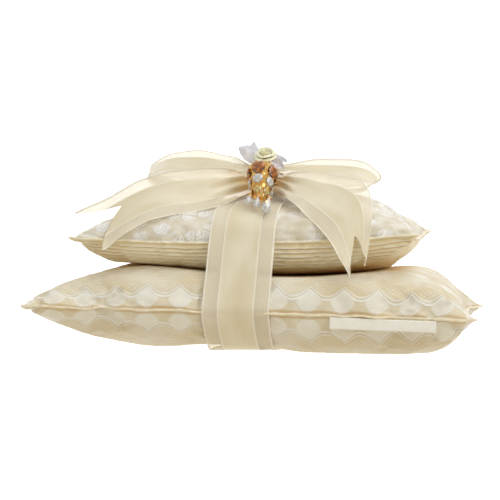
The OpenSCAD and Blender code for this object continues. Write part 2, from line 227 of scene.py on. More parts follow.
class Shape:
    """Points, faces and flat coordinates collected for one mesh. Lengths are in millimetres."""

    def __init__(self):
        self.points = []
        self.faces = []
        self.flat = []
        self.kinds = []
        self.count = 0

    def add(self, points, faces, flat=None, kind=0):
        points = np.asarray(points, float).reshape(-1, 3)
        flat = np.zeros((len(points), 2)) if flat is None else np.asarray(flat, float).reshape(-1, 2)
        self.points.append(points)
        self.flat.append(flat)
        self.faces += [[self.count + k for k in face] for face in faces]
        self.kinds += [kind] * len(faces)
        self.count += len(points)

    def grid(self, points, flip):
        """One sheet of faces over a grid of points."""
        rows, columns = points.shape[:2]
        faces = quads(np.arange(rows * columns).reshape(rows, columns))
        self.add(points, (faces[:, ::-1] if flip else faces).tolist())

    def shell(self, points, thick, flat):
        """A closed cloth of that thickness below a grid of points."""
        inner = points - normals(points) * np.broadcast_to(thick, points.shape[:2])[..., None]
        far = points.shape[0] * points.shape[1]
        index = np.arange(far).reshape(points.shape[:2])
        edge = rim(index)
        after = np.roll(edge, -1)
        sides = np.stack([edge, edge + far, after + far, after], -1)
        faces = np.vstack([quads(index), quads(index)[:, ::-1] + far, sides])
        self.add(np.stack([points, inner]), faces.tolist(), np.stack([flat, flat]))

    def tube(self, line, radius, kind):
        """A closed round bar along a line of points that isn't steep anywhere."""
        sides = 8
        run = unit(np.gradient(line, axis=0))
        side = unit(np.cross(run, UP))
        lift = np.cross(side, run)
        turn = np.linspace(0, 2 * math.pi, sides, endpoint=False)[:, None]
        rings = line[:, None] + radius * (np.cos(turn) * side[:, None] + np.sin(turn) * lift[:, None])
        index = np.arange(len(line) * sides).reshape(-1, sides)
        near, far = index[:-1], index[1:]
        faces = np.stack([near, np.roll(near, -1, 1), np.roll(far, -1, 1), far], -1).reshape(-1, 4)
        caps = [index[0, ::-1].tolist(), index[-1].tolist()]
        self.add(rings, faces.tolist() + caps, kind=kind)

    def build(self, name, *materials, smooth=True, weld=None):
        """The mesh as an object in metres; points closer than weld become one."""
        mesh = bpy.data.meshes.new(name)
        points = np.concatenate(self.points) * MM
        mesh.from_pydata(points.tolist(), [], self.faces)
        layer = mesh.uv_layers.new(name="flat")
        corner = np.zeros(len(mesh.loops), np.int32)
        mesh.loops.foreach_get("vertex_index", corner)
        layer.data.foreach_set("uv", (np.concatenate(self.flat) * MM)[corner].astype(np.float32).ravel())
        for material in materials:
            mesh.materials.append(material)
        mesh.polygons.foreach_set("material_index", self.kinds)
        mesh.polygons.foreach_set("use_smooth", [smooth] * len(self.faces))
        if weld:
            work = bmesh.new()
            work.from_mesh(mesh)
            bmesh.ops.remove_doubles(work, verts=work.verts, dist=weld * MM)
            work.to_mesh(mesh)
            work.free()
        mesh.update()
        piece = bpy.data.objects.new(name, mesh)
        bpy.context.collection.objects.link(piece)
        return piece


def cloth(points, thick, flat):
    """A shape that is a single cloth."""
    shape = Shape()
    shape.shell(points, thick, flat)
    return shape


def place(piece, body, slot, *nodes):
    """The piece rides on a body and stands for CAD nodes, which are hidden. Slot is not used."""
    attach(piece, body)
    if nodes:
        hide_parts(*nodes)


# ---- Materials ----
def tint(red, green, blue):
    """A colour given as it looks on screen, 0 to 255."""
    shares = [c / 255 for c in (red, green, blue)]
    return (*(c / 12.92 if c < 0.04 else ((c + 0.055) / 1.055) ** 2.4 for c in shares), 1)


def calculation(operation):
    """A method of Field that adds one math node."""

    def method(field, *others):
        node = field.paint.node("Math")
        node.operation = operation
        for socket, value in zip(node.inputs, (field, *others)):
            field.paint.put(socket, value)
        return Field(field.paint, node.outputs[0])

    return method


class Field:
    """A number that varies over a surface. Arithmetic on it adds math nodes."""

    def __init__(self, paint, socket):
        self.paint = paint
        self.socket = socket

    __add__ = calculation("ADD")
    __sub__ = calculation("SUBTRACT")
    __mul__ = calculation("MULTIPLY")
    __truediv__ = calculation("DIVIDE")
    sin = calculation("SINE")
    abs = calculation("ABSOLUTE")
    most = calculation("MAXIMUM")
    least = calculation("MINIMUM")
    part = calculation("FRACT")

    def wave(self, length):
        """From 0 to 1 and back over each length."""
        return (self * (2 * math.pi / length)).sin() * 0.5 + 0.5

    def step(self, low, high):
        """0 below low, 1 above high, smooth between."""
        node = self.paint.node("MapRange", Value=self, From_Min=low, From_Max=high)
        node.interpolation_type = "SMOOTHSTEP"
        return Field(self.paint, node.outputs["Result"])

    def line(self, width, soft):
        """1 within half a width of zero."""
        return self.abs().step(width / 2 + soft, width / 2)


class Paint:
    """A procedural material. Lengths in its patterns are in millimetres."""

    def __init__(self, name, roughness=0.5, **settings):
        self.material = bpy.data.materials.new(name)
        self.material.use_nodes = True
        self.tree = self.material.node_tree
        self.shader = self.tree.nodes["Principled BSDF"]
        self.shader.inputs["Roughness"].default_value = roughness
        for socket, value in settings.items():
            self.shader.inputs[socket.replace("_", " ")].default_value = value

    def put(self, socket, value):
        """Sets a node's input, or links it to a field or to another node."""
        if isinstance(value, Field):
            value = value.socket
        if isinstance(value, bpy.types.NodeSocket):
            self.tree.links.new(value, socket)
        else:
            socket.default_value = value

    def node(self, kind, **inputs):
        """Adds a node and sets or links its inputs."""
        node = self.tree.nodes.new("ShaderNode" + kind)
        for name, value in inputs.items():
            self.put(node.inputs[name.replace("_", " ")], value)
        return node

    def on_cloth(self):
        """The socket of the cloth's own flat coordinates, in metres."""
        node = self.node("UVMap")
        node.uv_map = "flat"
        return node.outputs[0]

    def flat(self):
        """The cloth's own flat coordinates, along and across, in millimetres."""
        split = self.node("SeparateXYZ", Vector=self.on_cloth())
        return [Field(self, split.outputs[k]) * (1 / MM) for k in (0, 1)]

    def texture(self, kind, source, sizes):
        """A texture node whose pattern has those sizes in millimetres."""
        scale = self.node("Mapping", Vector=source, Scale=[1 / (size * MM) for size in sizes])
        return self.node(kind, Vector=scale.outputs[0], Scale=1.0)

    def noise(self, size, detail=2.0, stretch=(1, 1, 1), flat=False):
        """Cloudy variation from 0 to 1, with spots about size millimetres across."""
        source = self.on_cloth() if flat else self.node("TexCoord").outputs["Object"]
        node = self.texture("TexNoise", source, [size * s for s in stretch])
        node.inputs["Detail"].default_value = detail
        return Field(self, node.outputs["Fac"])

    def voronoi(self, size, feature="F1"):
        """Distance to the nearest of scattered points, or to the edge between them, 0 to about 1."""
        node = self.texture("TexVoronoi", self.on_cloth(), [size] * 3)
        node.feature = feature
        return Field(self, node.outputs["Distance"])

    def blend(self, amount, low, high):
        """A colour between low and high."""
        node = self.node("Mix")
        node.data_type = "RGBA"
        self.put(node.inputs["Factor"], amount)
        self.put(node.inputs["A"], low)
        self.put(node.inputs["B"], high)
        return node.outputs["Result"]

    def color(self, value):
        self.put(self.shader.inputs["Base Color"], value)
        return self

    def rough(self, value):
        self.put(self.shader.inputs["Roughness"], value)
        return self

    def bump(self, height, depth):
        """Raised detail, depth millimetres high where height is 1."""
        node = self.node("Bump", Strength=1.0, Distance=depth * MM, Height=height)
        self.put(self.shader.inputs["Normal"], node.outputs[0])
        return self

    def see_through(self, amount):
        """Lets the background show through where amount is above 0."""
        clear = self.node("BsdfTransparent")
        mix = self.node("MixShader", Fac=amount)
        self.put(mix.inputs[1], self.shader.outputs[0])
        self.put(mix.inputs[2], clear.outputs[0])
        self.put(self.tree.nodes["Material Output"].inputs["Surface"], mix.outputs[0])
        return self


IVORY = tint(234, 227, 207)
IVORY_DEEP = tint(222, 206, 168)
IVORY_BRIGHT = tint(250, 248, 240)


def weave(along, across, length):
    """A fine over and under weave, 0 to 1."""
    return along.wave(length) * across.wave(length)


def jacquard(name, shade_under_cushion):
    """Lower cushion: rows of double scalloped waves over pale leaves, with hatching and fine stripes between.
    Painted warm shade tints it where the upper cushion lies on it, and painted dark shade marks the crease
    just inside the seam."""
    paint = Paint(name, Sheen_Weight=0.15, Sheen_Roughness=0.4)
    along, across = paint.flat()
    period, scallop, row = 18.0, 7.5, 42.5
    leaf_high, waves_at, hatch_high = 17, 10, 12
    half = LOWER["side"] / 2
    down = ((across + half) / row).part() * row
    phase = along * (math.pi / period)
    above = down - (phase.sin().abs() * -1 + 1) * scallop - waves_at
    waves = above.line(1.0, 0.5).most((above - 2.4).line(0.8, 0.4) * 0.8)
    aside = ((along / period + 0.5).part() - 0.5).abs() * period
    leaf = ((down * (math.pi / leaf_high)).sin() * 6.8 - aside).step(-0.4, 1.4)
    leaf = leaf * (down * -1 + leaf_high).step(0, 1)
    veins = (aside * 1.3 - down).wave(2.1).step(0.2, 0.8)
    lozenge = (along + across).wave(3.2) * (along - across).wave(3.2)
    hatch = lozenge.step(0.3, 0.6) * (above - 4).step(0, 2) * (above * -1 + hatch_high).step(0, 2)
    stripes = across.wave(2.3).step(0.4, 0.9) * (above - hatch_high).step(0, 2)
    raised = waves.most(leaf * (veins * 0.3 + 0.5)).most(hatch * 0.4)
    raised = raised.most(stripes * 0.4)
    cloud = paint.noise(24, 4, flat=True)
    fine = weave(along, across, 0.7)
    ground = paint.blend(cloud.step(0.3, 0.72), IVORY_DEEP, IVORY)
    woven = paint.blend(raised * (cloud * 0.5 + 0.75), ground, IVORY_BRIGHT)
    off = along.abs().most(across.abs())
    # painted dark shade in the crease just inside the seam
    painted_crease_shade = (off * -1 + half - 2.1).line(0.8, 0.7) * 0.6
    # painted warm shade on the part of the top that lies under the upper cushion
    painted_shade_under_cushion = off.step(86, 68) * shade_under_cushion
    crease_shaded = paint.blend(painted_crease_shade, woven, tint(204, 168, 106))
    paint.color(paint.blend(painted_shade_under_cushion, crease_shaded, tint(246, 206, 132)))
    paint.rough(raised * -0.22 + 0.55)
    return paint.bump(raised * 0.8 + fine * 0.2 + cloud * 0.4, 0.4).material


def embroidered():
    """Upper cushion's top: bright satin leaves stitched on a finely ribbed ground."""
    paint = Paint("embroidered_satin", Sheen_Weight=0.2, Sheen_Roughness=0.4)
    along, across = paint.flat()
    leaf = paint.voronoi(11)
    edge = paint.voronoi(11, "DISTANCE_TO_EDGE")
    petals = leaf.step(0.56, 0.4) * edge.step(0.02, 0.08)
    veins = (along - across * 0.6 + leaf * 7).wave(2.4).step(0.25, 0.75)
    ribs = (along * 0.5 + across).wave(1.6)
    cloud = paint.noise(9, 4, flat=True)
    raised = petals * (veins * 0.6 + 0.4)
    ground = paint.blend(cloud.step(0.35, 0.7), tint(220, 210, 186), tint(238, 232, 218))
    paint.color(paint.blend(raised, ground, tint(252, 251, 248)))
    paint.rough(raised * -0.2 + 0.5)
    return paint.bump(raised * 0.8 + ribs * 0.15 + cloud * 0.9, 0.6).material


def pintuck_satin():
    """Upper cushion's underside: plain cream satin with a fine crosswise grain, with painted highlights along
    the tuck ridges, painted shade in the grooves below them and a painted warm shade towards the middle,
    where it lies on the lower cushion.
    """
    paint = Paint("pintuck_satin", 0.42, Sheen_Weight=0.15, Sheen_Roughness=0.35)
    along, across = paint.flat()
    cloud = paint.noise(22, 3, flat=True)
    grain = paint.noise(0.9, 2, stretch=(6, 1, 1), flat=True)
    off = across.abs() * -1 + UPPER["side"] / 2
    row = ((off - TUCK_FIRST) / TUCK_SPACING + 0.5).part() - 0.5
    tucked = off.step(0, TUCK_FIRST) * off.step((TUCKS + 0.5) * TUCK_SPACING, TUCKS * TUCK_SPACING)
    # painted shade in the groove below each tuck, and painted highlight along each tuck's ridge
    painted_groove_shade = (row - 0.28).line(0.16, 0.12) * tucked
    ridge = (row + 0.02).line(0.16, 0.14) * tucked
    satin = paint.blend(cloud.step(0.3, 0.7), tint(240, 224, 182), tint(248, 237, 206))
    # painted warm shade towards the middle of the underside, where it lies on the lower cushion
    middle = off.least(along.abs() * -1 + UPPER["side"] / 2)
    inner = paint.blend(middle.step(26, 38), satin, tint(242, 208, 140))
    groove_shaded = paint.blend(painted_groove_shade * 0.6, inner, tint(196, 154, 90))
    paint.color(paint.blend(ridge * 0.7, groove_shaded, IVORY_BRIGHT))
    paint.rough(grain * 0.12 + 0.36)
    return paint.bump(weave(along, across, 0.6) * 0.5 + grain + cloud, 0.12).material


def ribbon_satin():
    """Ribbon: an opaque satin middle, sheer borders and a wired edge, with a painted golden shade in the
    gathered folds next to the knot.
    """
    paint = Paint("ribbon_satin", Sheen_Weight=0.25, Sheen_Roughness=0.35)
    along, across = paint.flat()
    off_middle = across.abs()
    satin = off_middle.step(SATIN_HALF + 0.5, SATIN_HALF - 0.1)
    wire = off_middle.step(RIBBON_HALF - 1.0, RIBBON_HALF - 0.7)
    selvedge = (off_middle - SATIN_HALF).line(0.6, 0.3)
    mesh_lines = along.wave(0.7).most(across.wave(0.7))
    cloud = paint.noise(14, 2, stretch=(3, 1, 1), flat=True)
    solid = satin.most(wire).most(selvedge)
    body = paint.blend(cloud.step(0.3, 0.75), tint(225, 212, 178), tint(239, 230, 205))
    sheer = paint.blend(satin, tint(255, 246, 222), body)
    # painted golden shade in the gathered folds, over the first 24 mm of each piece from the knot
    painted_shade_beside_knot = along.step(24, 4) * 0.55
    edged = paint.blend(wire.most(selvedge * 0.6), sheer, tint(246, 240, 224))
    paint.color(paint.blend(painted_shade_beside_knot, edged, tint(250, 200, 96)))
    paint.rough(satin * -0.26 + 0.6)
    grain = paint.noise(0.5, 2, stretch=(14, 1, 1), flat=True)
    paint.bump(grain * satin * 0.6 + mesh_lines * 0.3 + cloud * 0.6, 0.12)
    clear = (solid * -1 + 1) * (mesh_lines.step(0.55, 0.95) * -0.15 + 0.6)
    return paint.see_through(clear).material


def organza():
    """Rose leaves: crisp, sheer and slightly lilac, with a fine mesh."""
    paint = Paint("organza", 0.35, Sheen_Weight=0.4, Sheen_Roughness=0.3)
    along, across = paint.flat()
    mesh_lines = along.wave(0.5).most(across.wave(0.5))
    cloud = paint.noise(4, 2, flat=True)
    paint.color(paint.blend(cloud.step(0.3, 0.7), tint(226, 224, 238), tint(250, 249, 254)))
    paint.bump(mesh_lines * 0.3 + cloud, 0.2)
    return paint.see_through(mesh_lines * -0.2 + 0.35).material


def plain_satin(name, shade, light):
    """Small satin pieces: soft mottling and a fine lengthwise grain."""
    paint = Paint(name, 0.38, Sheen_Weight=0.2, Sheen_Roughness=0.35)
    cloud = paint.noise(3, 2)
    grain = paint.noise(0.4, 2, stretch=(8, 1, 1), flat=True)
    paint.color(paint.blend(cloud.step(0.3, 0.7), shade, light))
    paint.rough(grain * 0.15 + 0.3)
    return paint.bump(grain + cloud * 0.5, 0.03).material


def gold():
    """Polished gold plate with small wear and waviness."""
    paint = Paint("polished_gold", 0.2, Metallic=1.0)
    wear = paint.noise(3.5, 2)
    paint.color(paint.blend(wear.step(0.35, 0.75), tint(226, 170, 88), tint(252, 218, 150)))
    paint.rough(wear * 0.1 + 0.06)
    return paint.bump(wear, 0.006).material


def gem(name, dark, light, see, index=1.6):
    """Cut glass with painted reflections: its facets are painted darker or lighter by ring, by turns round it
    and with a little noise. See is the share of light that passes through.
    """
    paint = Paint(name, 0.04, IOR=index, Transmission_Weight=see, Coat_Weight=0.5)
    painted_light, _ = paint.flat()
    # a little noise breaks up the painted facet light and gives a faint bump
    depth = paint.noise(1.6, 0)
    paint.color(paint.blend(painted_light * (depth + 0.5), dark, light))
    return paint.bump(depth, 0.008).material


def fibre():
    """Polyester filling: matt white fluff."""
    paint = Paint("fibre_filling", 0.9)
    fluff = paint.noise(2.5, 6)
    paint.color(paint.blend(fluff, tint(232, 230, 224), tint(250, 249, 246)))
    return paint.bump(fluff, 0.8).material


# ---- Cushions ----
def blow_up(points, faces):
    """Where the points of a closed bag are, in metres, once pressure has filled it as cloth."""
    mesh = bpy.data.meshes.new("inflating")
    mesh.from_pydata(points.tolist(), [], faces.tolist())
    bag = bpy.data.objects.new("inflating", mesh)
    bpy.context.collection.objects.link(bag)
    modifier = bag.modifiers.new("Cloth", "CLOTH")
    values = dict(
        quality=8, mass=0.15, tension_stiffness=15, compression_stiffness=15, shear_stiffness=8,
        bending_stiffness=0.3, air_damping=2, use_pressure=True, uniform_pressure_force=4,
    )
    for name, value in values.items():
        setattr(modifier.settings, name, value)
    modifier.settings.effector_weights.gravity = 0
    modifier.collision_settings.use_collision = False
    modifier.point_cache.frame_end = SIM_FRAMES
    for step in range(1, SIM_FRAMES + 1):
        bpy.context.scene.frame_set(step)
    blown = bag.evaluated_get(bpy.context.evaluated_depsgraph_get())
    points = np.array([p.co for p in blown.data.vertices])
    bpy.data.objects.remove(bag)
    bpy.context.scene.frame_set(1)
    return points


def inflate(seed):
    """Two square panels sewn together and blown up as cloth. Returns the top and the bottom as grids, in a
    frame where the corners are at -1 and 1 and the middles are 1 high."""
    count = SIM_CELLS + 1
    line = np.linspace(-1, 1, count)
    u, v = np.meshgrid(line, line, indexing="ij")
    swell = (1 - u * u) * (1 - v * v)
    half, start, crumpled = 0.13, 0.01, 0.00015
    top = np.arange(count * count).reshape(count, count)
    bottom = top.copy()
    inner = (slice(1, -1), slice(1, -1))
    bottom[inner] = count * count + np.arange((count - 2) ** 2).reshape(count - 2, count - 2)
    points = np.zeros((bottom[inner].max() + 1, 3))
    points[top] = np.dstack([u * half, v * half, start * swell])
    points[bottom[inner]] = np.dstack([u * half, v * half, -start * swell])[inner]
    points += np.random.default_rng(seed).normal(0, crumpled, points.shape)
    points = blow_up(points, np.vstack([quads(top), quads(bottom)[:, ::-1]]))
    corner = np.abs(points[top[[0, 0, -1, -1], [0, -1, 0, -1]], :2]).mean()
    middle = SIM_CELLS // 2
    high = (points[top[middle, middle], 2] - points[bottom[middle, middle], 2]) / 2
    points[:, :2] /= corner
    points[:, 2] /= high
    return points[top], points[bottom]


def panel_lines(side, zone, fine, coarse):
    """Where a panel's mesh lines run, 0 to 1: fine apart in the zone beside each seam, coarse elsewhere."""
    edge = np.arange(0, zone, fine)
    middle = np.linspace(zone, side - zone, int((side - 2 * zone) / coarse) + 1)
    return np.concatenate([edge, middle, side - edge[::-1]]) / side


def under_ribbon(x):
    """1 under the ribbon, 0 away from it."""
    full, fade = RIBBON_HALF + 4, 16
    return 1 - ease((np.abs(x - RIBBON_X) - full) / fade)


def seam_details(side, seed, along, across, crease, puckers):
    """Puckers beside the seams and the crease where the panels are turned in, as a height."""
    total = np.zeros(np.broadcast(along, across).shape)
    seams = ((across, along), (side - across, along), (along, across), (side - along, across))
    for k, (off, run) in enumerate(seams):
        pucker = ripples(seed + k, 7, 17)(run)
        total += puckers * pucker * np.exp(-off / 8) * (1 - np.exp(-off / 1.2))
        total -= crease * np.exp(-((off - 1.9) / 0.8) ** 2)
    return total


def tucks(side, along, across):
    """Sewn pin-tucks along the front and back of a panel, ending at a slanted seam near each corner."""
    high, ends_at, slant, seam_deep, seam_long = 0.7, 26, 0.55, 0.35, 40
    off = np.minimum(across, side - across)
    row = (off - TUCK_FIRST) / TUCK_SPACING
    near = (row - np.round(row)) * TUCK_SPACING
    ridge = high * np.exp(-(near / 0.6) ** 2) - 0.5 * high * np.exp(-((near - 1.1) / 0.5) ** 2)
    inside = (np.round(row) > -1) & (np.round(row) < TUCKS)
    from_seam = np.minimum(along, side - along) - ends_at - slant * off
    seam = seam_deep * np.exp(-(from_seam / 1.2) ** 2) * (off < seam_long)
    return ridge * inside * ease(from_seam / 3 + 0.5) - seam


def resting(x):
    """Height where the upper cushion lies on the lower one: lowest a little to the right of the middle."""
    low, rise, middle, reach = 43.7, 8.5, 20, 72
    return low + rise * (1 - np.exp(-(((x - middle) / reach) ** 2)))


def underside(x):
    """Height of the lower cushion's underside: on the floor, but pulled up a little at the ribbon."""
    low, rise, middle, reach = 0.1, 4.4, -22, 38
    return low + rise * np.exp(-(((x - middle) / reach) ** 2))


def soft_above(z, floor):
    """z, kept above the floor with a small round at the turn."""
    soft = 0.7
    return floor + soft * np.logaddexp(0, (z - floor) / soft)


def settle(points, name, up):
    """Flattens a panel where it lies on the floor or on the other cushion."""
    gap = 0.2
    x, z = points[..., 0], points[..., 2]
    if name == "upper" and up < 0:
        points[..., 2] = soft_above(z, resting(x) + gap)
    elif name == "lower" and up > 0:
        points[..., 2] = -soft_above(-z, gap - resting(x))
    elif name == "lower":
        points[..., 2] = soft_above(z, underside(x))


def panel_bulge(data, up, x, u, high, from_seam):
    """How far a panel stands out from the level of its seam. It is pressed in under the strap."""
    tall, full = data["crown"], data["full_top"]
    if up < 0:
        tall, full = data["belly"], data["full_bottom"]
    fullness = full[0] + (full[1] - full[0]) * ease((u + 1) / 2)
    bulge = tall * (1 - np.clip(1 - high, 0, 1) ** fullness) * (1 - np.exp(-from_seam / 1.5))
    if (data["name"] == "upper") == (up > 0):
        bulge = bulge * (1 - GROOVE / tall * under_ribbon(x))
    return bulge


def cushion_panel(data, blown, up, lines, seed):
    """The outer surface of a cushion's top (up = 1) or bottom (up = -1) panel, and its flat coordinates."""
    name, side, pucker = data["name"], data["side"], data["pucker"]
    crease = 0.9 if up > 0 else 0.35
    shape = resample(resample(blown, lines[0], 0), lines[1], 1)
    u, v = shape[..., 0], shape[..., 1]
    fabric_u, fabric_v = np.meshgrid(2 * lines[0] - 1, 2 * lines[1] - 1, indexing="ij")
    less_pull = (1 - EDGE_PULL) / abs(blown[0, SIM_CELLS // 2, 0]) - 1
    u = u * (1 + less_pull * (1 - fabric_v ** 2))
    v = v * (1 + less_pull * (1 - fabric_u ** 2))
    x = data["x"] + u * side / 2

    along, across = (fabric_u + 1) * side / 2, (fabric_v + 1) * side / 2
    near_along, near_across = np.minimum(along, side - along), np.minimum(across, side - across)
    from_seam = np.minimum(near_across, near_along)
    height, tilt_x, tilt_y, corners = data["seam"]
    seam = height + tilt_x * u + tilt_y * v + corners * (u * v) ** 2
    seam = seam + pucker * ripples(seed, 14, 40)(along + across * 0.7) * np.exp(-from_seam / 10)
    bulge = panel_bulge(data, up, x, u, np.abs(shape[..., 2]), from_seam)
    points = np.dstack([x, v * side / 2, seam + up * (bulge + COVER)])

    lift = seam_details(side, seed, along, across, crease, pucker)
    if name == "upper" and up < 0:
        lift = lift + tucks(side, along, across)
    lift = lift * ease((np.hypot(near_along, near_across) - 5) / 22)
    points += normals(points) * lift[..., None] * up
    turn = math.radians(data["turn"])
    points[..., 0] += -turn * points[..., 1]
    points[..., 1] += turn * points[..., 0]
    settle(points, name, up)
    return points, np.dstack([along - side / 2, across - side / 2])


def cushion(data, seed, paints, slots):
    """A stuffed cushion: the top and bottom panels and the filling. Returns its outer surfaces."""
    side, name = data["side"], data["name"]
    blown_top, blown_bottom = inflate(seed)
    plain = panel_lines(side, 7, 0.55, 1.5)
    tucked = panel_lines(side, 26, 0.42, 1.6) if name == "upper" else plain
    outer = []
    for up, blown, lines, paint, slot, part in (
        (1, blown_top, (plain, plain), paints[0], slots[0], "top"),
        (-1, blown_bottom, (plain, tucked), paints[1], slots[1], "bottom"),
    ):
        points, flat = cushion_panel(data, blown, up, lines, seed + 10)
        outer.append(points)
        shape = Shape()
        if up > 0:
            shape.shell(points, COVER, flat)
        else:
            shape.shell(points[::-1], COVER, flat[::-1])
            seam = np.vstack([rim(points), points[:1, 0]])
            shape.tube(seam + COVER * UP, PIPING_R, kind=1)
        cover = shape.build(f"{name}_cover_{part}_cloth", PAINTS[paint], PAINTS["piping"])
        place(cover, "pillow", slot, f"{name}_cover_{part}")
    filling = Shape()
    coarse, share = slice(None, None, 4), 0.985
    for up, points in zip((1, -1), outer):
        inset = points[coarse, coarse] - up * FILLING_INSET * UP
        inset[..., :2] *= share
        filling.grid(inset, flip=up < 0)
    pad = filling.build(f"{name}_fibre", PAINTS["fibre"], weld=0.5)
    place(pad, "pillow", "fibre_filling", f"{name}_filling")
    return outer


# ---- Ribbon ----
def across_ribbon():
    """Places across a ribbon, -1 to 1, closer together at the wired edges."""
    return np.sin(np.linspace(-math.pi / 2, math.pi / 2, 53))


def pleat(half_width, pleats, across):
    """Height of the folds that take up the ribbon's width where it is gathered."""
    spare = np.sqrt(np.maximum(RIBBON_HALF ** 2 - half_width ** 2, 0))
    gathered = ease((RIBBON_HALF - 2 - half_width) / 9)
    return 0.17 * spare * gathered / pleats * np.cos(math.pi * pleats * across)


def ribbon_thickness(across):
    """Thin cloth with a bead at each edge, where the wire is."""
    from_edge = (1 - np.abs(across)) * RIBBON_HALF
    return RIBBON_THICK + (WIRE_THICK - RIBBON_THICK) * np.exp(-(from_edge / 0.5) ** 2)


def ribbon(stations, seed, notch=0, notch_at=0):
    """A length of ribbon through its stations, gathered where they are narrow, with a swallowtail notch."""
    pleats, ruffle = 2.5, 0.6
    stations = np.asarray(stations, float)
    fine = resample(stations[:, :3], np.linspace(0, 1, 200))
    length = np.linalg.norm(np.diff(fine, axis=0), axis=1).sum()
    across = across_ribbon()
    aside = across - notch_at
    cut = 1 - np.abs(aside) / (1 - np.sign(aside) * notch_at)
    t = np.linspace(0, 1, int(length / 1.1))[:, None] * (1 - notch * cut)
    rows = resample(stations, t.ravel()).reshape(*t.shape, 6)
    centre, half = rows[..., :3], rows[..., 3:]
    half_width = np.linalg.norm(half, axis=-1)
    points = centre + half * across[None, :, None]
    wave = pleat(half_width, pleats, across + 0.2 * ripples(seed, 40, 90)(t * length + 12 * across))
    wave = wave + ruffle * ripples(seed + 1, 18, 45)(t * length + 7 * across) * np.abs(across) ** 2
    points = points + normals(points) * wave[..., None]
    flat = spread(t * length, across * RIBBON_HALF)
    return cloth(points, ribbon_thickness(across), flat), length


def left_turn(a, b, c):
    """Above 0 where the way from a over b to c turns left."""
    return (b[0] - a[0]) * (c[1] - a[1]) - (b[1] - a[1]) * (c[0] - a[0])


def convex_route(y, z):
    """The taut loop round a set of points in the YZ plane, starting at the top and going to the front."""
    points = sorted(set(zip(np.round(y, 2).tolist(), np.round(z, 2).tolist())))
    halves = []
    for run in (points, points[::-1]):
        chain = []
        for p in run:
            while len(chain) > 1 and left_turn(*chain[-2:], p) <= 0:
                chain.pop()
            chain.append(p)
        halves.append(chain[:-1])
    loop = np.array(halves[0] + halves[1])
    start = np.argmin(np.abs(loop[:, 0] - KNOT[1]) - 0.5 * loop[:, 1])
    loop = np.roll(loop, -start, axis=0)[::-1]
    return np.vstack([loop[-1:], loop])


def wrap_path(surfaces):
    """The strap's way round both cushions: places along it, points in YZ and their outward directions."""
    above_cloth, above_floor = 0.9, 0.8
    near = []
    for points in surfaces:
        flat = points.reshape(-1, 3)
        near.append(flat[np.abs(flat[:, 0] - RIBBON_X) < RIBBON_HALF][:, 1:])
    near = np.concatenate(near)
    loop = convex_route(near[:, 0], near[:, 1])
    step = np.concatenate([[0], np.cumsum(np.linalg.norm(np.diff(loop, axis=0), axis=1))])
    along = np.linspace(0, step[-1], int(step[-1] / 1.5))
    path = np.stack([np.interp(along, step, loop[:, k]) for k in (0, 1)], -1)
    for _ in range(6):
        path[1:-1] = (path[:-2] + 2 * path[1:-1] + path[2:]) / 4
    run = np.gradient(path, axis=0)
    outward = unit(np.stack([-run[:, 1], run[:, 0]], -1))
    if (outward * (path - path.mean(0))).sum() < 0:
        outward = -outward
    path = path + outward * above_cloth
    path[:, 1] = np.maximum(path[:, 1], above_floor)
    return along[:, None], path, outward


def ribbon_wrap(surfaces):
    """The ribbon round both cushions, taut over them and gathered under the knot."""
    along, path, outward = wrap_path(surfaces)
    length = along[-1, 0]
    across = across_ribbon()
    to_knot = np.minimum(along, length - along)
    half = RIBBON_HALF * (0.4 + 0.6 * ease(to_knot / 42))
    middle = KNOT[0] + (RIBBON_X - KNOT[0]) * ease(to_knot / 40)
    points = spread(middle + half * across, path[:, :1], path[:, 1:])
    folds = np.abs(pleat(half, 3, across)) * ease(to_knot / 8)
    sway = 0.35 * ripples(5, 25, 60)(along + 9 * across) * np.abs(across)
    rise = 3.5 * np.exp(-(to_knot / 13) ** 2)
    points[..., 1:] += outward[:, None] * (folds + rise + np.maximum(sway, -0.2))[..., None]
    flat = spread(along, across * RIBBON_HALF)
    if (normals(points)[..., 1:] * outward[:, None]).sum() < 0:
        points, flat = points[:, ::-1], flat[:, ::-1]
    return cloth(points, ribbon_thickness(across), flat), length


def ribbon_knot():
    """The band gathered round the middle of the bow, with soft folds that run round it."""
    turn = np.linspace(0, 2 * math.pi, 90)[:, None]
    across = np.linspace(-1, 1, 41)
    folds = 0.7 * np.cos(3.2 * math.pi * across + 0.5 * np.sin(turn)) + 0.3 * np.sin(7 * across)
    radius = KNOT_R - 1.0 + folds * (1 - across ** 4) - 1.2 * np.abs(across) ** 5
    x, y, z = KNOT
    points = spread(x + KNOT_HALF * across, y - radius * np.sin(turn), z + radius * np.cos(turn))
    flat = spread(turn * KNOT_R, across * RIBBON_HALF * 0.5)
    return cloth(points, KNOT_THICK, flat), 2 * math.pi * KNOT_R


def side_label(seam):
    """A blank satin label, folded in two, that hangs from the lower cushion's front seam."""
    start, end, tall, thick = 47, 105, 6.4, 0.25
    apart, forward, below, lean = 0.45, 0.6, 1.4, 0.35
    x = np.linspace(start, end, 70)[:, None]
    near = np.abs(seam[:, 0] - (start + end) / 2) < end - start
    y, z = (np.polyval(np.polyfit(seam[near, 0], seam[near, k], 3), x) for k in (1, 2))
    straight = np.linspace(0, 1, 9) * (tall - apart)
    bend = np.linspace(0, math.pi, 9)[1:-1]
    down = np.concatenate([straight, tall - apart + apart * np.sin(bend), straight[::-1]])
    out = np.concatenate([0 * straight - apart, -apart * np.cos(bend), 0 * straight + apart])
    wave = 0.15 * np.sin(x / 14) * down / tall
    points = spread(x, y - forward + out - lean * down - wave, z - below - down * math.sqrt(1 - lean ** 2))
    run = np.concatenate([[0], np.cumsum(np.hypot(np.diff(down), np.diff(out)))])
    return cloth(points, thick, spread(x, run))


# ---- Rose and leaves ----
def on_rose(points):
    """Points of the upright rose as it sits on the knot, tilted to the front."""
    turned = np.array(Matrix.Rotation(math.radians(ROSE_TILT), 3, "X"))
    return ROSE_SIZE * points @ turned.T + np.array(ROSE_BASE)


